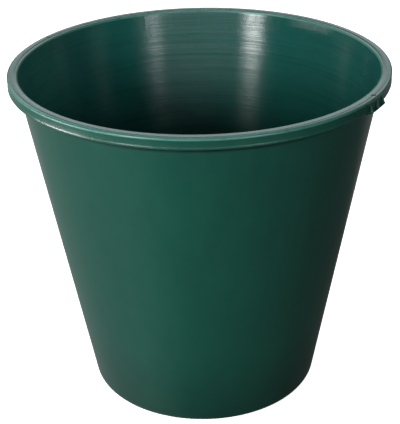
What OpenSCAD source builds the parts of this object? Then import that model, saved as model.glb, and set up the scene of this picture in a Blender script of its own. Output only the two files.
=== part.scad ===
// Florist bucket: a tapered, injection-moulded bucket with a hollow, ribbed rim
// and two handle lugs. The origin is the centre of the foot, on the ground, and
// the lugs lie on the X axis. All sizes are in millimetres and degrees.

/* [Body] */
// Overall height, from the ground to the top of the rim
height = 275.5; // [240:0.5:320]
// Diameter at which the outer wall's line meets the ground
base_d = 185.4; // [176:0.2:196]
// Thickness of the wall, measured square to it
wall_t = 1.6; // [1.4:0.1:2]
// Outer radius of the corner between the wall and the foot
corner_r = 10; // [7:0.5:12]

/* [Base] */
// Width of the flat ring that the bucket stands on
stand_w = 9; // [6:0.5:12]
// How far the floor's underside is raised above the ground
floor_lift = 2; // [1.5:0.1:3]
// Thickness of the floor
floor_t = 2; // [1.6:0.1:3]
// Number of stiffening ribs under the floor
floor_rib_count = 8; // [4:1:12]
// Width of the stiffening ribs
floor_rib_w = 2; // [1.4:0.1:2.6]
// Diameter of the boss at the injection point
gate_d = 24; // [16:1:36]

/* [Rim] */
// Outer diameter of the rim
rim_d = 300; // [298:1:304]
// Thickness of the flange that forms the rim's top
flange_t = 2; // [1.8:0.1:2.4]
// Rounding of the flange's inner and outer edges
flange_round = 1.6; // [1:0.1:1.8]
// How far the skirt hangs below the rim's top
skirt_drop = 9.2; // [8.5:0.1:11]
// Thickness of the skirt
skirt_t = 1.8; // [1.4:0.1:2.2]
// Gap between the rim's outer radius and the wall, at the skirt's lower edge
rim_overhang = 8.1; // [7:0.1:9]
// Angle from one rib inside the rim to the next
rib_pitch = 10; // [5, 10, 15]
// Thickness of the ribs inside the rim
rib_t = 1.4; // [1:0.1:2]

/* [Handle lugs] */
// Angle that each lug takes up round the rim
lug_arc = 11; // [10.5:0.5:13]
// How far a lug hangs below the rim's top
lug_drop = 10.2; // [10:0.1:12]
// How far a lug's face stands proud of the rim's outer radius
lug_proud = 0.2; // [0.1:0.1:0.6]
// Angle from one fin on a lug to the next
fin_pitch = 4.1; // [3.8:0.1:4.2]
// Thickness of a fin
fin_t = 1.2; // [0.8:0.1:1.6]
// Width of the slot beside each fin
slot_w = 1.3; // [0.8:0.1:1.6]
// How far the ledge under the fins stands out from a lug's face
ledge_out = 2.6; // [1:0.1:3]
// Thickness of the ledge
ledge_t = 1.2; // [1:0.1:1.6]
// Width of the slit in the flange above each lug
slit_w = 1.8; // [1:0.1:2]

/* [Hidden] */
$fn = 96;

green = "#2f6a57";
rim_green = "#3d7a66";
shade_green = "#245244";

// Heights of the rim's levels
flange_z = height - flange_t;
skirt_z = height - skirt_drop;
rib_z = skirt_z + 1;
lug_z = height - lug_drop;

// The outer wall is the line r = base_r + draft * z
base_r = base_d / 2;
rim_r = rim_d / 2;
draft = (rim_r - rim_overhang - base_r) / skirt_z;
draft_angle = atan(draft);
wall_dr = wall_t / cos(draft_angle);

// The corner's arc is tangent to the ground and to the outer wall
corner_x = base_r + draft * corner_r - corner_r / cos(draft_angle);
stand_in_r = corner_x - stand_w;
// The floor panel rests on the inner third of the foot ring
floor_r = stand_in_r + stand_w / 3;

// The skirt's face, and the bead along its lower edge
bead_proud = 0.3;
bead_h = 1.6;
bead_round = 0.8;
skirt_r = rim_r - bead_proud;
skirt_in_r = skirt_r - skirt_t;

// A lug's plate, its fins, and the slot beside each fin
lug_r = rim_r + lug_proud;
fin_angles = [-fin_pitch, 0, fin_pitch];
fin_top_z = height - 3.4;
slot_top_z = height - 4.6;
slot_low_z = lug_z + ledge_t + 0.3;
slot_gap = 0.2;

// The ledge's chamfer, and how much wider than a fin's foot it is
ledge_chamfer = 1;
ledge_lip = 0.2;
// How far a fin stands out at its top
fin_top_out = 0.3;
// How far the webs behind a lug stop short of its foot
web_lift = 0.8;

// The slit in the flange, from just outside the wall to just inside the rim's edge
slit_in_r = rim_r - 4.8;
slit_len = 4.2;

// The floor's ribs and boss stay above the ground, and the ribs clear of their neighbours
floor_rib_h = floor_lift * 0.6;
boss_h = floor_lift * 0.4;
floor_rib_gap = 3;

// How far a cutting solid runs past the surface it cuts
cut = 2;

function wall_r(z) = base_r + draft * z;
function wall_in_r(z) = wall_r(z) - wall_dr;
// The angle that a length takes up on a circle
function span(length, r) = length / r * 180 / PI;
function arc(x, z, r, from, to, steps = 6) = [
    for (i = [0:steps])
        let (a = from + (to - from) * i / steps)
            [x + r * cos(a), z + r * sin(a)]
];

// A closed ring with the given outline
module ring(outline) {
    rotate_extrude()
        polygon(outline);
}

// A stretch of a ring that starts at one angle and sweeps counterclockwise
module sector(outline, from, sweep) {
    rotate([0, 0, from])
        rotate_extrude(angle = sweep)
            polygon(outline);
}

// A thin radial web centred on an angle
module web(outline, at, thickness, r) {
    sweep = span(thickness, r);
    sector(outline, at - sweep / 2, sweep);
}

module side_wall() {
    low = [cos(draft_angle), -sin(draft_angle)];
    centre = [corner_x, corner_r];
    color(green)
        ring([
            centre + (corner_r - wall_t) * low,
            centre + corner_r * low,
            [wall_r(flange_z), flange_z],
            [wall_in_r(flange_z), flange_z]
        ]);
}

module foot_ring() {
    color(shade_green)
        ring(concat(
            [[stand_in_r, floor_lift], [stand_in_r, 0]],
            arc(corner_x, corner_r, corner_r, -90, -draft_angle, 8),
            arc(corner_x, corner_r, corner_r - wall_t, -draft_angle, -90, 8),
            [[floor_r, floor_lift]]
        ));
}

module floor_panel() {
    color(shade_green)
        translate([0, 0, floor_lift])
            cylinder(h = floor_t, r = floor_r);
}

module floor_ribs() {
    inner_r = gate_d / 2 + floor_rib_gap;
    rib_len = stand_in_r - floor_rib_gap - inner_r;
    color(shade_green)
        for (i = [0:floor_rib_count - 1])
            rotate([0, 0, (i + 0.5) * 360 / floor_rib_count])
                translate([inner_r, -floor_rib_w / 2, floor_lift - floor_rib_h])
                    cube([rib_len, floor_rib_w, floor_rib_h]);
}

module gate_boss() {
    color(shade_green)
        translate([0, 0, floor_lift - boss_h])
            cylinder(h = boss_h, r = gate_d / 2);
}

module rim_flange() {
    round_z = height - flange_round;
    inner_r = wall_in_r(round_z);
    color(rim_green)
        difference() {
            ring(concat(
                [[wall_in_r(flange_z), flange_z], [rim_r, flange_z]],
                arc(rim_r - flange_round, round_z, flange_round, 0, 90),
                arc(inner_r + flange_round, round_z, flange_round, 90, 180)
            ));
            for (side = [0, 180])
                rotate([0, 0, side])
                    translate([slit_in_r, -slit_w / 2, flange_z - cut])
                        cube([slit_len, slit_w, flange_t + 2 * cut]);
        }
}

// Half of the skirt, between the two lugs
module rim_skirt(from) {
    outline = concat(
        [[skirt_in_r, skirt_z], [skirt_in_r, flange_z], [skirt_r, flange_z],
         [skirt_r, skirt_z + bead_h + bead_proud], [rim_r, skirt_z + bead_h]],
        arc(rim_r - bead_round, skirt_z + bead_round, bead_round, 0, -90, 4)
    );
    color(rim_green)
        sector(outline, from + lug_arc / 2, 180 - lug_arc);
}
module rim_skirt_front() { rim_skirt(180); }
module rim_skirt_back() { rim_skirt(0); }

// The webs that tie half of the skirt to the wall
module rim_ribs(from) {
    outline = [
        [wall_r(rib_z), rib_z], [skirt_in_r, rib_z],
        [skirt_in_r, flange_z], [wall_r(flange_z), flange_z]
    ];
    color(shade_green)
        for (a = [1.5 * rib_pitch:rib_pitch:180 - lug_arc / 2 - 1])
            web(outline, from + a, rib_t, rim_r);
}
module rim_ribs_front() { rim_ribs(180); }
module rim_ribs_back() { rim_ribs(0); }

// The curved plate with three slots that a handle's clip hooks into
module handle_lug(side) {
    outline = [
        [skirt_in_r, lug_z], [lug_r, lug_z], [lug_r, flange_z], [skirt_in_r, flange_z]
    ];
    slot_offset = span(fin_t / 2 + slot_gap + slot_w / 2, lug_r);
    color(rim_green)
        difference() {
            sector(outline, side - lug_arc / 2, lug_arc);
            for (a = fin_angles)
                rotate([0, 0, side + a - slot_offset])
                    translate([skirt_in_r - cut, -slot_w / 2, slot_low_z])
                        cube([lug_r - skirt_in_r + 2 * cut, slot_w, slot_top_z - slot_low_z]);
        }
}
module handle_lug_right() { handle_lug(0); }
module handle_lug_left() { handle_lug(180); }

// The lip along the foot of a lug's face, from the first fin to the last
module lug_ledge(side) {
    edge_r = lug_r + ledge_out;
    outline = [
        [lug_r, lug_z], [edge_r - ledge_chamfer, lug_z], [edge_r, lug_z + ledge_chamfer],
        [edge_r, lug_z + ledge_t], [lug_r, lug_z + ledge_t]
    ];
    half = fin_pitch + span(fin_t / 2 + ledge_lip, lug_r);
    color(shade_green)
        sector(outline, side - half, 2 * half);
}
module lug_ledge_right() { lug_ledge(0); }
module lug_ledge_left() { lug_ledge(180); }

// One three-cornered fin beside each slot, widest where it meets the ledge
module lug_fins(side) {
    foot_z = lug_z + ledge_t;
    outline = [
        [lug_r, foot_z], [lug_r + ledge_out - ledge_lip, foot_z],
        [lug_r + fin_top_out, fin_top_z], [lug_r, fin_top_z]
    ];
    color(rim_green)
        for (a = fin_angles)
            web(outline, side + a, fin_t, lug_r);
}
module lug_fins_right() { lug_fins(0); }
module lug_fins_left() { lug_fins(180); }

// The webs that tie a lug's plate to the wall, one at each end and one between fins
module lug_webs(side) {
    foot_z = lug_z + web_lift;
    outline = [
        [wall_r(foot_z), foot_z], [skirt_in_r, foot_z],
        [skirt_in_r, flange_z], [wall_r(flange_z), flange_z]
    ];
    end_angle = lug_arc / 2 - span(rib_t, rim_r) / 2;
    color(shade_green)
        for (a = [-end_angle, -fin_pitch / 2, fin_pitch / 2, end_angle])
            web(outline, side + a, rib_t, rim_r);
}
module lug_webs_right() { lug_webs(0); }
module lug_webs_left() { lug_webs(180); }

side_wall();
foot_ring();
floor_panel();
floor_ribs();
gate_boss();
rim_flange();
rim_skirt_front();
rim_skirt_back();
rim_ribs_front();
rim_ribs_back();
handle_lug_right();
handle_lug_left();
lug_ledge_right();
lug_ledge_left();
lug_fins_right();
lug_fins_left();
lug_webs_right();
lug_webs_left();
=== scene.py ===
"""A florist bucket: the looks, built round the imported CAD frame. Metres, +Z up, lugs on the X axis."""

import math

import bmesh
import bpy
from mathutils import Matrix, Vector


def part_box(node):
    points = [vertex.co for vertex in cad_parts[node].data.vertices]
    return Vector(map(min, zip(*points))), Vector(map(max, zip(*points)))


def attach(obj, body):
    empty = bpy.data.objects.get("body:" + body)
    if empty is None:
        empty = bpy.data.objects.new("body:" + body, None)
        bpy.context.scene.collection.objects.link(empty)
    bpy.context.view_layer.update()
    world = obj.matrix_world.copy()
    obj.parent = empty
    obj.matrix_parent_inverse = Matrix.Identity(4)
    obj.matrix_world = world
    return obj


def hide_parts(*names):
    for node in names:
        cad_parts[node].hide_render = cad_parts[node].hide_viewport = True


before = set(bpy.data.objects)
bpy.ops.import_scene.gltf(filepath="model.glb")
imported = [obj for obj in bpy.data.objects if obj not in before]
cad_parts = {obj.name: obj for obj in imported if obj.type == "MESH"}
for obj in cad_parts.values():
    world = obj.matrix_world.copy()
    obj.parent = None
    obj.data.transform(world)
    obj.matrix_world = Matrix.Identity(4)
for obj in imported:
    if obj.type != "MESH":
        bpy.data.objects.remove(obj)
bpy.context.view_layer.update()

MM = 0.001


# ---------------------------------------------------------------- sizes, from the frame

flange_low, flange_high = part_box("rim_flange")
wall_low, wall_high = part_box("side_wall")
foot_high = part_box("foot_ring")[1]
floor_low, floor_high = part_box("floor_panel")
skirt_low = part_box("rim_skirt_back")[0]
lug_low, lug_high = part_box("handle_lug_right")
ledge_low, ledge_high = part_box("lug_ledge_right")
boss_low, boss_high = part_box("gate_boss")
ribs_low, ribs_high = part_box("floor_ribs")

HEIGHT = flange_high.z
RIM_R = flange_high.y
FLANGE_Z = flange_low.z
SKIRT_Z = skirt_low.z
WALL_T = 1.6 * MM
DRAFT = (wall_high.x - foot_high.x) / (wall_high.z - wall_low.z)
DRAFT_ANGLE = math.atan(DRAFT)
WALL_DR = WALL_T / math.cos(DRAFT_ANGLE)
CORNER_R = wall_low.z / (1 - math.sin(DRAFT_ANGLE))
CORNER_X = foot_high.x - CORNER_R * math.cos(DRAFT_ANGLE)

# The standing ring, the skirt and its bead
STAND_W = 9 * MM
STAND_IN_R = CORNER_X - STAND_W
FLOOR_R = floor_high.x
BEAD_OUT = 0.3 * MM
SKIRT_T = 1.8 * MM
SKIRT_R = RIM_R - BEAD_OUT
SKIRT_IN_R = SKIRT_R - SKIRT_T

# The lugs, and the slits over them. Pitches, shifts and half widths of a plate are in degrees.
LUG_OUT = 0.2 * MM
LUG_R = RIM_R + LUG_OUT
LUG_HALF = math.degrees(math.asin(lug_high.y / LUG_R))
LUG_Z = lug_low.z
FIN_PITCH = 4.1
FIN_PLACES = (-1, 0, 1)
FIN_T = 1.2 * MM
FIN_TOP_Z = HEIGHT - 3.4 * MM
SLOT_W = 1.3 * MM
SLOT_GAP = 0.2 * MM
SLOT_LOW_Z = ledge_high.z + 0.3 * MM
SLOT_TOP_Z = HEIGHT - 4.6 * MM
SLOT_SHIFT = math.degrees((FIN_T / 2 + SLOT_GAP + SLOT_W / 2) / LUG_R)
SLIT_IN_R = RIM_R - 4.8 * MM
SLIT_OUT_R = RIM_R - 0.6 * MM
SLIT_HALF_W = 0.9 * MM

# The ribs. Their pitch is in degrees.
RIB_T = 1.4 * MM
RIB_PITCH = 10.0
RIBS_PER_HALF = 16
FLOOR_RIBS = 8

# The angle of each lug, and the angle where each half of the skirt starts, in degrees from +X
LUG_SIDES = {"right": 0.0, "left": 180.0}
HALVES = {"front": 180.0, "back": 0.0}


def wall_r(z):
    """Outer radius of the wall at a height."""
    return wall_high.x + DRAFT * (z - wall_high.z)


def wall_in_r(z):
    """Inner radius of the wall at a height."""
    return wall_r(z) - WALL_DR


def on_circle(r, degrees, z):
    """The point at a radius, an angle from +X and a height."""
    a = math.radians(degrees)
    return (r * math.cos(a), r * math.sin(a), z)


def arc(x, z, r, start, end, steps):
    """Points of an arc in the (radius, height) plane."""
    points = []
    for i in range(steps + 1):
        a = math.radians(start + (end - start) * i / steps)
        points.append((x + r * math.cos(a), z + r * math.sin(a)))
    return points


# ---------------------------------------------------------------- camera, lights, floor

CAM_AZIMUTH = 30.5
CAM_ELEVATION = 26.54
CAM_DISTANCE = 7 * RIM_R
CAM_AIM_DROP = 0.9 * RIM_R
CAM_LENS = 107.21
CAM_PAN, CAM_TILT, CAM_ROLL = -0.093, 0.268, -1.088
LIGHT_NEAR = 1.6
LIGHT_FAR = 2.2

# From min, from max, to min, to max: across towards the lit side, and upwards from the horizon
WORLD_LIT_TURN = -115
WORLD_ACROSS = (-0.1, 0.45, 0.06, 0.28)
WORLD_UP = (-0.12, 0.12, 1.0, 0.06)
WORLD_COLOUR = (0.97, 1.0, 0.99, 1)

FLOOR_REACH = 3.4
FLOOR_BEND = 0.6
BACK_WALL_TOP = 4.0
FLOOR_SIDES = 96


def direction(azimuth, elevation):
    """Unit vector from the bucket to a place seen at that azimuth (0 is the front, -Y) and elevation."""
    a, e = math.radians(azimuth), math.radians(elevation)
    return Vector((math.sin(a) * math.cos(e), -math.cos(a) * math.cos(e), math.sin(e)))


def make_camera():
    """The camera at the photograph's viewing angle."""
    aim = Vector((0, 0, HEIGHT - CAM_AIM_DROP))
    back = direction(CAM_AZIMUTH, CAM_ELEVATION)
    right = Vector((0, 0, 1)).cross(back).normalized()
    up = back.cross(right)
    turn = Matrix((right, up, back)).transposed()
    turn = turn @ Matrix.Rotation(math.radians(-CAM_PAN), 3, "Y")
    turn = turn @ Matrix.Rotation(math.radians(CAM_TILT), 3, "X")
    turn = turn @ Matrix.Rotation(math.radians(CAM_ROLL), 3, "Z")
    data = bpy.data.cameras.new("camera")
    data.lens = CAM_LENS
    data.clip_start, data.clip_end = 0.05, 20
    camera = bpy.data.objects.new("camera", data)
    camera.matrix_world = Matrix.Translation(aim + back * CAM_DISTANCE) @ turn.to_4x4()
    bpy.context.scene.collection.objects.link(camera)
    bpy.context.scene.camera = camera


def make_light(name, turn, elevation, width, height, glow, distance=LIGHT_FAR):
    """A soft box that faces the bucket.

    turn is its angle round the bucket from the camera, to the right, width and height are the
    angles that it fills, and glow is its brightness.
    """
    sides = [2 * distance * math.tan(math.radians(angle / 2)) for angle in (width, height)]
    data = bpy.data.lights.new(name, "AREA")
    data.shape = "RECTANGLE"
    data.size, data.size_y = sides
    data.energy = glow * math.pi * sides[0] * sides[1]
    light = bpy.data.objects.new(name, data)
    away = direction(CAM_AZIMUTH + turn, elevation)
    light.location = Vector((0, 0, HEIGHT / 2)) + away * distance
    light.rotation_mode = "QUATERNION"
    light.rotation_quaternion = away.to_track_quat("Z", "Y")
    bpy.context.scene.collection.objects.link(light)


def set_range(node, numbers):
    """Sets a Map Range node's limits: from min, from max, to min, to max."""
    for socket, number in zip(("From Min", "From Max", "To Min", "To Max"), numbers):
        node.inputs[socket].default_value = number


def make_world():
    """A dark studio, paler below the horizon, and more so on the left."""
    world = bpy.data.worlds.new("studio")
    bpy.context.scene.world = world
    world.use_nodes = True
    n, link = world.node_tree.nodes, world.node_tree.links
    n.clear()
    coord = n.new("ShaderNodeTexCoord")
    across = n.new("ShaderNodeVectorMath")
    across.operation = "DOT_PRODUCT"
    across.inputs[1].default_value = direction(CAM_AZIMUTH + WORLD_LIT_TURN, 0)
    height = n.new("ShaderNodeSeparateXYZ")
    sides = n.new("ShaderNodeMapRange")
    sides.interpolation_type = "SMOOTHSTEP"
    set_range(sides, WORLD_ACROSS)
    levels = n.new("ShaderNodeMapRange")
    levels.interpolation_type = "SMOOTHSTEP"
    set_range(levels, WORLD_UP)
    product = n.new("ShaderNodeMath")
    product.operation = "MULTIPLY"
    background = n.new("ShaderNodeBackground")
    background.inputs["Color"].default_value = WORLD_COLOUR
    output = n.new("ShaderNodeOutputWorld")
    link.new(coord.outputs["Generated"], across.inputs[0])
    link.new(coord.outputs["Generated"], height.inputs[0])
    link.new(across.outputs["Value"], sides.inputs["Value"])
    link.new(height.outputs["Z"], levels.inputs["Value"])
    link.new(sides.outputs["Result"], product.inputs[0])
    link.new(levels.outputs["Result"], product.inputs[1])
    link.new(product.outputs["Value"], background.inputs["Strength"])
    link.new(background.outputs["Background"], output.inputs["Surface"])


def make_floor():
    """A plain pale floor that turns up into a pale wall. It throws no light back on the bucket."""
    flat_r = FLOOR_REACH - FLOOR_BEND
    outline = [(flat_r, 0)] + arc(flat_r, FLOOR_BEND, FLOOR_BEND, -90, 0, 12)[1:]
    outline += [(FLOOR_REACH, BACK_WALL_TOP)]
    turns = [k * 360 / FLOOR_SIDES for k in range(FLOOR_SIDES)]
    bm = bmesh.new()
    rings = [[bm.verts.new(on_circle(r, a, z)) for a in turns] for r, z in outline]
    bm.faces.new(rings[0])
    for low, high in zip(rings, rings[1:]):
        for k in range(FLOOR_SIDES):
            after = (k + 1) % FLOOR_SIDES
            bm.faces.new((low[k], low[after], high[after], high[k]))
    mesh = bpy.data.meshes.new("studio_floor")
    bm.to_mesh(mesh)
    bm.free()
    floor = bpy.data.objects.new("studio_floor", mesh)
    bpy.context.scene.collection.objects.link(floor)
    material = bpy.data.materials.new("pale_floor")
    material.use_nodes = True
    shader = material.node_tree.nodes["Principled BSDF"]
    shader.inputs["Base Color"].default_value = (0.8, 0.8, 0.8, 1)
    shader.inputs["Emission Color"].default_value = (1, 1, 1, 1)
    shader.inputs["Emission Strength"].default_value = 0.9
    shader.inputs["Roughness"].default_value = 0.9
    shader.inputs["Specular IOR Level"].default_value = 0.1
    mesh.materials.append(material)
    floor.visible_diffuse = False
    floor.visible_glossy = False
    floor.visible_shadow = False


# ---------------------------------------------------------------- materials


class Nodes:
    """Short helpers for wiring one material."""

    def __init__(self, name):
        self.material = bpy.data.materials.new(name)
        self.material.use_nodes = True
        self.tree = self.material.node_tree
        self.shader = self.tree.nodes["Principled BSDF"]
        self.place = self.add("ShaderNodeTexCoord").outputs["Object"]

    def add(self, kind, **settings):
        node = self.tree.nodes.new(kind)
        for key, value in settings.items():
            setattr(node, key, value)
        return node

    def wire(self, source, target):
        self.tree.links.new(source, target)

    def stretched(self, scale):
        """The object's own coordinates, stretched by a factor along each axis."""
        mapping = self.add("ShaderNodeMapping")
        mapping.inputs["Scale"].default_value = scale
        self.wire(self.place, mapping.inputs["Vector"])
        return mapping.outputs["Vector"]

    def noise(self, scale, detail, roughness=0.55, place=None):
        """Noise with a number of cycles per metre, or in coordinates that are already scaled."""
        node = self.add("ShaderNodeTexNoise")
        node.inputs["Scale"].default_value = scale
        node.inputs["Detail"].default_value = detail
        node.inputs["Roughness"].default_value = roughness
        self.wire(place or self.place, node.inputs["Vector"])
        return node.outputs["Fac"]

    def rescale(self, value, old, new):
        """Maps one range of a value to another, and clamps it there."""
        node = self.add("ShaderNodeMapRange")
        set_range(node, (*old, *new))
        self.wire(value, node.inputs["Value"])
        return node.outputs["Result"]

    def math(self, operation, a, b):
        """Adds, multiplies or otherwise combines two numbers or sockets."""
        node = self.add("ShaderNodeMath", operation=operation)
        for socket, value in zip(node.inputs, (a, b)):
            if isinstance(value, (int, float)):
                socket.default_value = value
            else:
                self.wire(value, socket)
        return node.outputs["Value"]

    def blend(self, factor, a, b):
        """Colour a turning to colour b. Either may be a colour or a socket."""
        node = self.add("ShaderNodeMix", data_type="RGBA")
        self.wire(factor, node.inputs[0])
        for socket, colour in zip((node.inputs[6], node.inputs[7]), (a, b)):
            if isinstance(colour, tuple):
                socket.default_value = (*colour, 1)
            else:
                self.wire(colour, socket)
        return node.outputs[2]

    def bump(self, height, distance, strength, base=None):
        """A normal from a height between 0 and 1 and a depth in metres, on top of another normal."""
        node = self.add("ShaderNodeBump")
        node.inputs["Strength"].default_value = strength
        node.inputs["Distance"].default_value = distance
        self.wire(height, node.inputs["Height"])
        if base is not None:
            self.wire(base, node.inputs["Normal"])
        return node.outputs["Normal"]

    def put(self, **sockets):
        """Feeds shader inputs: a value is set on the socket, an output is wired to it."""
        for name, value in sockets.items():
            socket = self.shader.inputs[name.replace("_", " ")]
            if isinstance(value, (int, float, tuple)):
                socket.default_value = value
            else:
                self.wire(value, socket)


GREEN = (0.0065, 0.063, 0.043)
GREEN_DEEP = (0.0045, 0.047, 0.036)
GREEN_PALE = (0.028, 0.105, 0.080)
# Colour of the painted highlights on the rim top's edges and on the fins
GREEN_HIGHLIGHT = (0.055, 0.18, 0.138)
# Colour of the painted shade: the skirt's shadow on the wall, and darkening towards the foot
SHADE_COLOUR = (0.0006, 0.0022, 0.0016)
PLASTIC_IOR = 1.49

# Noise: cycles per metre, for stretched noise along each axis
DRIFT = (11.0, 11.0, 4.0)
MOTTLE = 95.0
RUBS = (420.0, 420.0, 16.0)
CHIPS = 210.0
SHADE_PATCHES = 45.0
PEEL = 900.0
SKIN = 60.0
TURNING_FINE = (7.0, 7.0, 480.0)
TURNING_BROAD = (3.0, 3.0, 130.0)

# How much each of these adds to the roughness, or takes of the colour
MOTTLE_ROUGHNESS = 0.04
MOTTLE_SHARE = 0.08
RUB_ROUGHNESS = 0.05
WORN_ROUGHNESS = 0.12
# Painted shade in the grooves of the turning marks: its share of the colour, and its tone
GROOVE_SHADE_SHARE = 0.28
GROOVE_SHADE_TONE = (0.5, 0.5, 0.5)

# Bump: depth in metres and strength
PEEL_DEPTH, PEEL_STRENGTH = 0.00006, 0.35
SKIN_DEPTH, SKIN_STRENGTH = 0.0004, 0.12
BROAD_TURNING_DEPTH = 1.5


def tinted(colour, tint):
    """A colour with each of its parts multiplied."""
    return tuple(part * share for part, share in zip(colour, tint))


def moulded_plastic(
    name,
    gloss,
    brushed=0.0,
    turning=0.0,
    tint=(1, 1, 1),
    wear_z=None,
    wear_and_highlight_r=(),
    wear_and_highlight_colour=GREEN_PALE,
    wear_and_highlight_share=0.5,
    chipping=(0.46, 0.62),
    painted_shade=(),
):
    """Dark green moulded plastic: soft colour drift, orange-peel skin, rub marks, edge wear, painted
    highlights and painted shade.

    brushed is how strongly fine marks round the bucket stretch a highlight up and down, and turning is
    the depth of the coarser lathe marks left by the mould, whose grooves get painted shade. tint
    multiplies the colour, for lighter and darker copies of the green that stand in for light and shade.
    wear_z is a pair of heights, from full wear to none, and wear_and_highlight_r a list of such pairs of
    radii, in metres, between which a pale edge fades out: rub wear on some edges, a painted highlight on
    others; chipping says how broken up it is. painted_shade lists (unshaded height, shaded height,
    strength) of bands painted darker as shade; the band right under the skirt is the skirt's shadow.
    """
    m = Nodes(name)
    drift = m.rescale(m.noise(1.0, 4.0, 0.6, m.stretched(DRIFT)), (0.32, 0.68), (0.0, 1.0))
    mottle = m.rescale(m.noise(MOTTLE, 5.0, 0.7), (0.3, 0.7), (0.0, 1.0))
    deep, green, pale = (tinted(shade, tint) for shade in (GREEN_DEEP, GREEN, GREEN_PALE))
    colour = m.blend(drift, deep, green)
    colour = m.blend(m.math("MULTIPLY", mottle, MOTTLE_SHARE), colour, pale)
    rubs = m.noise(1.0, 6.0, 0.75, m.stretched(RUBS))
    rubs = m.rescale(rubs, (0.60, 0.74), (0.0, 1.0))
    roughness = m.math("ADD", m.math("MULTIPLY", mottle, MOTTLE_ROUGHNESS), gloss)
    roughness = m.math("ADD", roughness, m.math("MULTIPLY", rubs, RUB_ROUGHNESS))
    parts = m.add("ShaderNodeSeparateXYZ")
    m.wire(m.place, parts.inputs[0])
    wear_and_highlight = None
    if wear_z:
        wear_and_highlight = m.rescale(parts.outputs["Z"], wear_z, (1.0, 0.0))
    if wear_and_highlight_r:
        flat = m.add("ShaderNodeVectorMath", operation="LENGTH")
        m.wire(m.stretched((1.0, 1.0, 0.0)), flat.inputs[0])
        for limits in wear_and_highlight_r:
            edge = m.rescale(flat.outputs["Value"], limits, (1.0, 0.0))
            wear_and_highlight = edge if wear_and_highlight is None else m.math("MAXIMUM", wear_and_highlight, edge)
    # Pale edges: rub wear on some materials, painted highlights on others
    if wear_and_highlight is not None:
        chips = m.rescale(m.noise(CHIPS, 6.0, 0.8), chipping, (0.0, 1.0))
        wear_and_highlight = m.math("MULTIPLY", wear_and_highlight, chips)
        colour = m.blend(m.math("MULTIPLY", wear_and_highlight, wear_and_highlight_share), colour, wear_and_highlight_colour)
        roughness = m.math("ADD", roughness, m.math("MULTIPLY", wear_and_highlight, WORN_ROUGHNESS))
    # Painted shade: bands darkened where shade falls, right under the skirt and towards the foot
    for unshaded_z, shaded_z, strength in painted_shade:
        shade_mask = m.rescale(parts.outputs["Z"], (unshaded_z, shaded_z), (0.0, strength))
        shade_patches = m.rescale(m.noise(SHADE_PATCHES, 4.0), (0.3, 0.6), (0.8, 1.0))
        colour = m.blend(m.math("MULTIPLY", shade_mask, shade_patches), colour, SHADE_COLOUR)
    peel = m.bump(m.noise(PEEL, 2.0, 0.5), PEEL_DEPTH, PEEL_STRENGTH)
    skin = m.bump(m.noise(SKIN, 2.0, 0.5), SKIN_DEPTH, SKIN_STRENGTH, peel)
    if turning:
        fine = m.noise(1.0, 4.0, 0.65, m.stretched(TURNING_FINE))
        broad = m.noise(1.0, 2.0, 0.5, m.stretched(TURNING_BROAD))
        skin = m.bump(fine, turning, 1.0, skin)
        skin = m.bump(broad, BROAD_TURNING_DEPTH * turning, 1.0, skin)
        # Painted shade: the colour is darkened in the grooves of the turning marks
        marks = m.rescale(fine, (0.36, 0.5), (1.0, 0.0))
        colour = m.blend(m.math("MULTIPLY", marks, GROOVE_SHADE_SHARE), colour, tinted(deep, GROOVE_SHADE_TONE))
    if brushed:
        around = m.add("ShaderNodeTangent", direction_type="RADIAL", axis="Z")
        m.put(Tangent=around.outputs["Tangent"], Anisotropic=brushed, Anisotropic_Rotation=0.25)
    m.put(Base_Color=colour, Roughness=roughness, Normal=skin, IOR=PLASTIC_IOR)
    return m.material


# ---------------------------------------------------------------- mesh builders

# The distance below which two points are one, and the angles above which an edge is sharp
SAME_PLACE = 1e-7
SMOOTH = 35.0
SMOOTH_ROUND = 50.0


def line(a, b, steps):
    """Points from a to b, with a and without b."""
    points = []
    for i in range(steps):
        points.append((a[0] + (b[0] - a[0]) * i / steps, a[1] + (b[1] - a[1]) * i / steps))
    return points


def finish_piece(name, bm, nodes, materials, bevel=0.0, smooth=SMOOTH):
    """Turns a bmesh into a piece that stands for CAD nodes.

    Edges sharper than smooth, in degrees, stay sharp, or get rounded if there is a bevel.
    """
    bmesh.ops.remove_doubles(bm, verts=bm.verts, dist=SAME_PLACE)
    bmesh.ops.recalc_face_normals(bm, faces=bm.faces)
    mesh = bpy.data.meshes.new(name)
    bm.to_mesh(mesh)
    bm.free()
    for material in materials:
        mesh.materials.append(material)
    piece = bpy.data.objects.new(name, mesh)
    bpy.context.scene.collection.objects.link(piece)
    if bevel:
        rounding = piece.modifiers.new("rounding", "BEVEL")
        rounding.width = bevel
        rounding.segments = 3
        rounding.limit_method = "ANGLE"
        rounding.angle_limit = math.radians(smooth)
    for polygon in mesh.polygons:
        polygon.use_smooth = True
    mesh.set_sharp_from_angle(angle=math.radians(smooth))
    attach(piece, "root")
    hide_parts(*nodes)


def sweep_outline(bm, outline, angles, closed, shape=None):
    """Sweeps a closed (radius, height) outline through a list of angles, and returns the faces.

    shape(i, r, a, z) may move point i of the outline. Where the sweep isn't closed, its ends get caps.
    """
    shape = shape or (lambda i, r, a, z: (r, z))
    rows = []
    for a in angles:
        row = []
        for i, (r, z) in enumerate(outline):
            r2, z2 = shape(i, r, a, z)
            row.append(bm.verts.new(on_circle(r2, a, z2)))
        rows.append(row)
    count = len(outline)
    spans = len(rows) if closed else len(rows) - 1
    grid = []
    for j in range(spans):
        here, there = rows[j], rows[(j + 1) % len(rows)]
        strip = []
        for i in range(count):
            k = (i + 1) % count
            strip.append(bm.faces.new((here[i], there[i], there[k], here[k])))
        grid.append(strip)
    if not closed:
        bm.faces.new(rows[0])
        bm.faces.new(rows[-1][::-1])
    return grid


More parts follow.
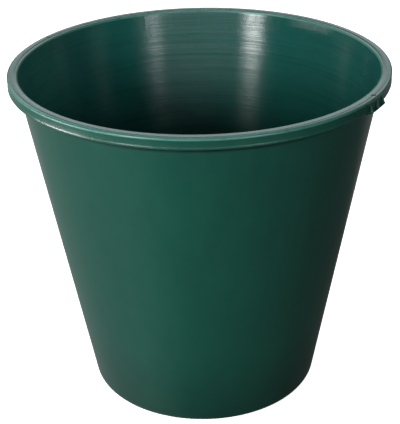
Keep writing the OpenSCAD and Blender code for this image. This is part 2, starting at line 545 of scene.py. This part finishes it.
def rib_mark(degrees, width):
    """How deep a sink mark is at an angle, from 1 at a rib to 0 between ribs; width is in degrees."""
    off = abs((degrees + RIB_PITCH / 2) % RIB_PITCH - RIB_PITCH / 2)
    return math.exp(-((off / width) ** 2))


def even_angles(start, end, step):
    """Angles from start to end, both included, about a step apart."""
    count = max(1, round((end - start) / step))
    return [start + (end - start) * i / count for i in range(count + 1)]


def full_turn(step):
    """Angles all the way round, for a closed sweep."""
    return even_angles(0, 360, step)[:-1]


def add_web(bm, outline, middle, thickness, r):
    """Adds a thin upright rib at an angle. Its thickness holds at radius r."""
    half = math.degrees(thickness / r) / 2
    sweep_outline(bm, outline, [middle - half, middle + half], False)


# ---------------------------------------------------------------- the pieces

# Steps of a sweep, and how near a step may come to a slot's edge, in degrees
RING_STEP = 0.5
FINE_STEP = 0.25
LEDGE_STEP = 0.6
SLOT_CLEAR = 0.08

# The pinhole at the axis of a full disc, which gets filled
HUB_R = 0.1 * MM

# Widths of rounded edges
RIB_EDGE = 0.4 * MM
FIN_EDGE = 0.22 * MM
LUG_EDGE = 0.15 * MM

# Sink marks at the ribs: depth, and width in degrees. In the wall they start at a height and fade in.
WALL_SINK, WALL_SINK_W = 0.05 * MM, 0.5
SKIRT_SINK, SKIRT_SINK_W = 0.07 * MM, 0.4
SINK_Z = FLANGE_Z - 14 * MM
SINK_FADE = 5 * MM


def make_wall(outside, inside):
    """The tapered wall, with the shallow sinks that the rim's ribs leave inside it."""
    corner = (CORNER_X, CORNER_R)
    low = (math.cos(DRAFT_ANGLE), -math.sin(DRAFT_ANGLE))
    outer_foot = (corner[0] + CORNER_R * low[0], corner[1] + CORNER_R * low[1])
    inner_foot = (corner[0] + (CORNER_R - WALL_T) * low[0], corner[1] + (CORNER_R - WALL_T) * low[1])
    outer_top = (wall_r(FLANGE_Z), FLANGE_Z)
    inner_top = (wall_in_r(FLANGE_Z), FLANGE_Z)
    sink_foot = (wall_in_r(SINK_Z), SINK_Z)
    outline = line(outer_foot, outer_top, 24) + [outer_top]
    inner_start = len(outline)
    outline += line(inner_top, sink_foot, 14) + line(sink_foot, inner_foot, 24) + [inner_foot]

    def sink(i, r, a, z):
        if i < inner_start or z < SINK_Z:
            return r, z
        fade = min(1.0, (z - SINK_Z) / SINK_FADE)
        return r + WALL_SINK * fade * rib_mark(a, WALL_SINK_W), z

    bm = bmesh.new()
    grid = sweep_outline(bm, outline, full_turn(FINE_STEP), True, sink)
    for strip in grid:
        for i, face in enumerate(strip):
            face.material_index = 1 if inner_start <= i < len(outline) - 1 else 0
    finish_piece("wall_shell", bm, ["side_wall"], [outside, inside])


def make_foot(outside, inside):
    """The standing ring: the wall's foot turned in through a round corner."""
    last = -math.degrees(DRAFT_ANGLE)
    chamfer = 0.5 * MM
    outline = [(STAND_IN_R, floor_low.z), (STAND_IN_R, chamfer), (STAND_IN_R + chamfer, 0)]
    outline += arc(CORNER_X, CORNER_R, CORNER_R, -90, last, 20)
    inner_start = len(outline)
    outline += arc(CORNER_X, CORNER_R, CORNER_R - WALL_T, last, -90, 16)
    outline += [(FLOOR_R, floor_low.z)]
    bm = bmesh.new()
    grid = sweep_outline(bm, outline, full_turn(RING_STEP), True)
    for strip in grid:
        for i, face in enumerate(strip):
            face.material_index = 1 if i >= inner_start else 0
    finish_piece("standing_ring", bm, ["foot_ring"], [outside, inside])


def make_floor_panel(material):
    """The raised floor, with a rounded edge and a faint dished middle over the injection point."""
    low, high = floor_low.z, floor_high.z
    edge = 1.2 * MM
    dish_r, dish_wall, dish_depth = 16 * MM, 15 * MM, 0.25 * MM
    outline = [(HUB_R, low), (FLOOR_R, low)]
    outline += arc(FLOOR_R - edge, high - edge, edge, 0, 90, 8)
    outline += line((FLOOR_R - edge, high), (dish_r, high), 16)
    outline += [(dish_r, high), (dish_wall, high - dish_depth), (HUB_R, high - dish_depth)]
    bm = bmesh.new()
    sweep_outline(bm, outline, full_turn(1.0), True)
    fill_hub(bm)
    finish_piece("floor_plate", bm, ["floor_panel"], [material])


def fill_hub(bm):
    """Closes the pinhole at the axis: its own wall goes, and each end gets a cap."""
    limit = HUB_R * 1.01
    hub = [f for f in bm.faces if all(math.hypot(v.co.x, v.co.y) < limit for v in f.verts)]
    bmesh.ops.delete(bm, geom=hub, context="FACES_ONLY")
    loose = [e for e in bm.edges if not e.link_faces]
    bmesh.ops.delete(bm, geom=loose, context="EDGES")
    rims = [e for e in bm.edges if e.is_boundary]
    bmesh.ops.holes_fill(bm, edges=rims, sides=0)


def make_floor_ribs(material):
    """Low radial ribs under the floor."""
    gap, half = 3 * MM, 1 * MM
    lengths = (boss_high.x + gap, STAND_IN_R - gap)
    heights = (ribs_low.z, ribs_high.z)
    bm = bmesh.new()
    for i in range(FLOOR_RIBS):
        turn = Matrix.Rotation(math.radians((i + 0.5) * 360 / FLOOR_RIBS), 4, "Z")
        corners = [(x, y, z) for x in lengths for y in (-half, half) for z in heights]
        v = [bm.verts.new(turn @ Vector(c)) for c in corners]
        for face in ((0, 1, 3, 2), (4, 6, 7, 5), (0, 4, 5, 1), (2, 3, 7, 6), (0, 2, 6, 4), (1, 5, 7, 3)):
            bm.faces.new([v[k] for k in face])
    finish_piece("floor_stiffeners", bm, ["floor_ribs"], [material], bevel=RIB_EDGE)


def make_gate_boss(material):
    """The low boss round the injection point, with the gate's broken-off stub."""
    low, high, r = boss_low.z, boss_high.z, boss_high.x
    stub_z, hollow_z = low + 0.2 * MM, low + 0.45 * MM
    edge = 0.5 * MM
    outline = [(HUB_R, stub_z), (1.4 * MM, stub_z), (1.9 * MM, hollow_z)]
    outline += [(5 * MM, hollow_z), (5.8 * MM, low)]
    outline += arc(r - edge, low + edge, edge, -90, 0, 6)
    outline += [(r, high), (HUB_R, high)]
    bm = bmesh.new()
    sweep_outline(bm, outline, full_turn(3.0), True)
    fill_hub(bm)
    finish_piece("gate_stub", bm, ["gate_boss"], [material])


def make_flange(material, crevice_shade):
    """The rim's flat top, slightly dished between two rounded edges, with a slit over each lug."""
    edge, dish, steps = 1.6 * MM, 0.22 * MM, 8
    round_z = HEIGHT - edge
    inner_r = wall_in_r(round_z)
    top_in, top_out = inner_r + edge, RIM_R - edge
    radii = [SLIT_IN_R] + [top_in + (top_out - top_in) * k / steps for k in range(1, steps)]
    outline = [(wall_in_r(FLANGE_Z), FLANGE_Z), (SLIT_IN_R, FLANGE_Z)]
    outline += [(SLIT_OUT_R, FLANGE_Z), (RIM_R, FLANGE_Z)]
    outline += arc(RIM_R - edge, round_z, edge, 0, 90, 10)
    for r in sorted(radii, reverse=True):
        sag = math.sin(math.pi * (r - top_in) / (top_out - top_in))
        outline.append((r, HEIGHT - dish * sag))
    outline += arc(inner_r + edge, round_z, edge, 90, 180, 10)
    half = math.degrees(SLIT_HALF_W / (SLIT_IN_R + SLIT_OUT_R) * 2)
    angles = set(full_turn(RING_STEP))
    for side in LUG_SIDES.values():
        angles |= {(side + half) % 360, (side - half) % 360}
    bm = bmesh.new()
    sweep_outline(bm, outline, sorted(angles), True)
    cut_slits(bm, half)
    finish_piece("rim_top", bm, ["rim_flange"], [material, crevice_shade], smooth=SMOOTH_ROUND)


def in_slit(face, side, half):
    """Whether a face lies flat over the slit at an angle."""
    c = face.calc_center_median()
    a = (math.degrees(math.atan2(c.y, c.x)) - side + 180) % 360 - 180
    return abs(face.normal.z) > 0.9 and abs(a) < half and SLIT_IN_R < math.hypot(c.x, c.y) < SLIT_OUT_R


def cut_slits(bm, half):
    """Opens a slit through the flange on each side and walls it in."""
    for side in LUG_SIDES.values():
        bm.normal_update()
        doomed = [f for f in bm.faces if in_slit(f, side, half)]
        bmesh.ops.delete(bm, geom=doomed, context="FACES")
        rims = [e for e in bm.edges if e.is_boundary]
        # The slit's walls get the painted shade
        for face in bmesh.ops.bridge_loops(bm, edges=rims)["faces"]:
            face.material_index = 1


def make_skirt(half_name, start, material):
    """Half of the skirt, from lug to lug, with a rounded bead along its lower edge."""
    bead, chamfer, sunk_r = 1.1 * MM, 0.4 * MM, SKIRT_R - 0.1 * MM
    outline = [(SKIRT_IN_R, SKIRT_Z + chamfer), (SKIRT_IN_R, FLANGE_Z), (SKIRT_R, FLANGE_Z)]
    outline += [(SKIRT_R, SKIRT_Z + 2.6 * MM), (RIM_R - 0.22 * MM, SKIRT_Z + 2.2 * MM)]
    outline += [(RIM_R - 0.06 * MM, SKIRT_Z + 1.7 * MM)]
    outline += arc(RIM_R - bead, SKIRT_Z + bead, bead, 0, -90, 8)
    outline += [(SKIRT_IN_R + chamfer, SKIRT_Z)]

    def sink(i, r, a, z):
        return (r - SKIRT_SINK * rib_mark(a, SKIRT_SINK_W), z) if r > sunk_r else (r, z)

    bm = bmesh.new()
    angles = even_angles(start + LUG_HALF, start + 180 - LUG_HALF, FINE_STEP)
    sweep_outline(bm, outline, angles, False, sink)
    name = f"rim_skirt_{half_name}"
    finish_piece(f"skirt_{half_name}", bm, [name], [material], smooth=SMOOTH_ROUND)


def behind_skirt(low, high):
    """The outline of a rib that fills the gap between the wall and the skirt."""
    return [(wall_r(low), low), (SKIRT_IN_R, low), (SKIRT_IN_R, high), (wall_r(high), high)]


def make_rim_ribs(half_name, start, material):
    """The ribs that tie half of the skirt to the wall."""
    low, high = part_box(f"rim_ribs_{half_name}")
    outline = behind_skirt(low.z, high.z)
    bm = bmesh.new()
    for i in range(RIBS_PER_HALF):
        add_web(bm, outline, start + (i + 1.5) * RIB_PITCH, RIB_T, RIM_R)
    name = f"rim_ribs_{half_name}"
    finish_piece(f"skirt_ribs_{half_name}", bm, [name], [material])


def make_lug(side_name, side, material, crevice_shade):
    """The curved plate with a slot beside each fin."""
    slots = []
    half = math.degrees(SLOT_W / 2 / LUG_R)
    for k in FIN_PLACES:
        middle = side + k * FIN_PITCH - SLOT_SHIFT
        slots.append((middle - half, middle + half))
    edges = [a for slot in slots for a in slot]
    angles = even_angles(side - LUG_HALF, side + LUG_HALF, RING_STEP)
    angles = [a for a in angles if all(abs(a - edge) > SLOT_CLEAR for edge in edges)]
    angles = sorted(angles + edges)
    heights = [LUG_Z, SLOT_LOW_Z, SLOT_TOP_Z, FLANGE_Z]
    bm = bmesh.new()
    corners = {}

    def corner(r, j, i):
        key = (r, j, i)
        if key not in corners:
            corners[key] = bm.verts.new(on_circle(r, angles[j], heights[i]))
        return corners[key]

    def on_plate(j, i):
        return 0 <= j < len(angles) - 1 and 0 <= i < len(heights) - 1

    def solid(j, i):
        if not on_plate(j, i):
            return False
        middle = (angles[j] + angles[j + 1]) / 2
        return i != 1 or all(not start < middle < end for start, end in slots)

    for j in range(len(angles) - 1):
        for i in range(len(heights) - 1):
            if not solid(j, i):
                continue
            for r in (SKIRT_IN_R, LUG_R):
                low = (corner(r, j, i), corner(r, j + 1, i))
                high = (corner(r, j + 1, i + 1), corner(r, j, i + 1))
                bm.faces.new(low + high)
            for nj, ni, p, q in (
                (j - 1, i, (j, i), (j, i + 1)),
                (j + 1, i, (j + 1, i), (j + 1, i + 1)),
                (j, i - 1, (j, i), (j + 1, i)),
                (j, i + 1, (j, i + 1), (j + 1, i + 1)),
            ):
                if solid(nj, ni):
                    continue
                back = (corner(SKIRT_IN_R, *p), corner(SKIRT_IN_R, *q))
                front = (corner(LUG_R, *q), corner(LUG_R, *p))
                # Walls that face a slot get the painted shade
                bm.faces.new(back + front).material_index = 1 if on_plate(nj, ni) else 0
    name = f"handle_lug_{side_name}"
    materials = [material, crevice_shade]
    finish_piece(f"lug_plate_{side_name}", bm, [name], materials, bevel=LUG_EDGE)


def make_fins(side_name, side, material):
    """Three fins that flare out towards the ledge."""
    foot = ledge_high.z
    tip = ledge_high.x - 0.2 * MM
    outline = [(LUG_R, foot), (tip, foot), (LUG_R + 0.3 * MM, FIN_TOP_Z), (LUG_R, FIN_TOP_Z)]
    bm = bmesh.new()
    for k in FIN_PLACES:
        add_web(bm, outline, side + k * FIN_PITCH, FIN_T, LUG_R)
    name = f"lug_fins_{side_name}"
    finish_piece(f"lug_fin_set_{side_name}", bm, [name], [material], bevel=FIN_EDGE)


def make_ledge(side_name, side, material, crevice_shade):
    """The ledge under the slots, with a chamfer along its lower edge."""
    low, high, edge = ledge_low.z, ledge_high.z, ledge_high.x
    half = math.degrees(math.asin(ledge_high.y / edge))
    chamfer, eased, nick = 1.0 * MM, 0.08 * MM, 0.06 * MM
    outline = [(LUG_R, low), (edge - chamfer, low), (edge - eased, low + chamfer - eased)]
    outline += [(edge, low + chamfer), (edge, high - nick), (edge - nick, high), (LUG_R, high)]
    bm = bmesh.new()
    for strip in sweep_outline(bm, outline, even_angles(side - half, side + half, LEDGE_STEP), False):
        # The ledge's underside and lower chamfer get the painted shade
        for face in strip[:2]:
            face.material_index = 1
    name = f"lug_ledge_{side_name}"
    materials = [material, crevice_shade]
    finish_piece(f"lug_lip_{side_name}", bm, [name], materials, bevel=LUG_EDGE)


def make_lug_webs(side_name, side, material):
    """The webs that tie the slotted plate to the wall: one at each end, two between the slots."""
    low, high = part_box(f"lug_webs_{side_name}")
    outline = behind_skirt(low.z, high.z)
    end = LUG_HALF - math.degrees(RIB_T / RIM_R) / 2
    bm = bmesh.new()
    for a in (-end, -FIN_PITCH / 2, FIN_PITCH / 2, end):
        add_web(bm, outline, side + a, RIB_T, RIM_R)
    name = f"lug_webs_{side_name}"
    finish_piece(f"lug_web_set_{side_name}", bm, [name], [material])


# ---------------------------------------------------------------- the scene

make_camera()
make_world()
make_floor()
make_light("key", turn=-39, elevation=18, width=8, height=17, glow=60, distance=LIGHT_NEAR)
make_light("fill", turn=31, elevation=18, width=3, height=17, glow=28, distance=LIGHT_NEAR)
make_light("front", turn=8, elevation=20, width=64, height=10, glow=4.6, distance=LIGHT_NEAR)
make_light("side", turn=-82, elevation=1, width=30, height=10, glow=26)
make_light("backdrop", turn=180, elevation=40, width=100, height=34, glow=1.9)
make_light("top", turn=0, elevation=88, width=30, height=30, glow=1.7)
make_light("table", turn=180, elevation=-20, width=110, height=22, glow=0.13)

scene = bpy.context.scene
scene.view_settings.view_transform = "Standard"

# Painted shade bands (unshaded height, shaded height, strength): the skirt's shadow on the wall under
# it, and darkening towards the foot
skirt_shadow = (SKIRT_Z - 6.2 * MM, SKIRT_Z - 3.4 * MM, 0.95)
foot_shade = (70 * MM, 0.0, 0.4)
# Painted highlight: the fins turn pale from half a millimetre out from the plate
fin_highlight = (LUG_R + 0.5 * MM, LUG_R)
ledge_wear = (ledge_high.x, ledge_high.x - 0.9 * MM)
# The bead's outermost edge turns pale: partly rub wear, partly a painted highlight
bead_wear_and_highlight = (RIM_R, RIM_R - 0.25 * MM)
# Painted highlights along the outer and inner edges of the rim's top
outer_edge_highlight = (RIM_R - 0.1 * MM, RIM_R - 1.0 * MM)
inner_edge_highlight = (wall_in_r(HEIGHT) + 0.2 * MM, wall_in_r(HEIGHT) + 1.6 * MM)

outside = moulded_plastic(
    "green_outside",
    gloss=0.28,
    wear_z=(0.0, 9 * MM),
    painted_shade=[skirt_shadow, foot_shade],
)
# The inside is a lighter, bluer copy of the green: painted light, for the light that falls inside the
# bucket
inside = moulded_plastic(
    "green_inside_painted_light",
    gloss=0.21,
    brushed=0.82,
    turning=0.00016,
    tint=(1.3, 1.3, 1.55),
)
base = moulded_plastic("green_base", gloss=0.36, wear_z=(0.0, 2.5 * MM))
# The floor panel is a lighter copy of the green: painted light
bottom = moulded_plastic("green_bottom_painted_light", gloss=0.38, tint=(1.3, 1.3, 1.4))
rim = moulded_plastic("green_rim", gloss=0.27, wear_and_highlight_r=[bead_wear_and_highlight])
lug = moulded_plastic("green_lug", gloss=0.30, wear_and_highlight_r=[ledge_wear])
# The fins carry a painted highlight
fin = moulded_plastic(
    "green_fin_painted_highlight",
    gloss=0.28,
    wear_and_highlight_r=[fin_highlight],
    wear_and_highlight_colour=GREEN_HIGHLIGHT,
    chipping=(0.2, 0.4),
)
# A near-black copy of the green: painted shade in the flange's slits, the lug's slots and under the
# ledge
crevice_shade = moulded_plastic("green_painted_crevice_shade", gloss=0.6, tint=(0.12, 0.06, 0.07))
# The rim's top is a much lighter copy of the green, painted light, and its two edge bands are painted
# highlights
rim_top = moulded_plastic(
    "green_rim_top_painted_light",
    gloss=0.22,
    tint=(2.0, 1.9, 2.3),
    wear_and_highlight_r=[outer_edge_highlight, inner_edge_highlight],
    wear_and_highlight_colour=GREEN_HIGHLIGHT,
    wear_and_highlight_share=0.8,
    chipping=(0.3, 0.5),
)

make_wall(outside, inside)
make_foot(outside, inside)
make_floor_panel(bottom)
make_floor_ribs(base)
make_gate_boss(base)
make_flange(rim_top, crevice_shade)
for half_name, start in HALVES.items():
    make_skirt(half_name, start, rim)
    make_rim_ribs(half_name, start, rim)
for side_name, side in LUG_SIDES.items():
    make_lug(side_name, side, lug, crevice_shade)
    make_fins(side_name, side, fin)
    make_ledge(side_name, side, lug, crevice_shade)
    make_lug_webs(side_name, side, rim)
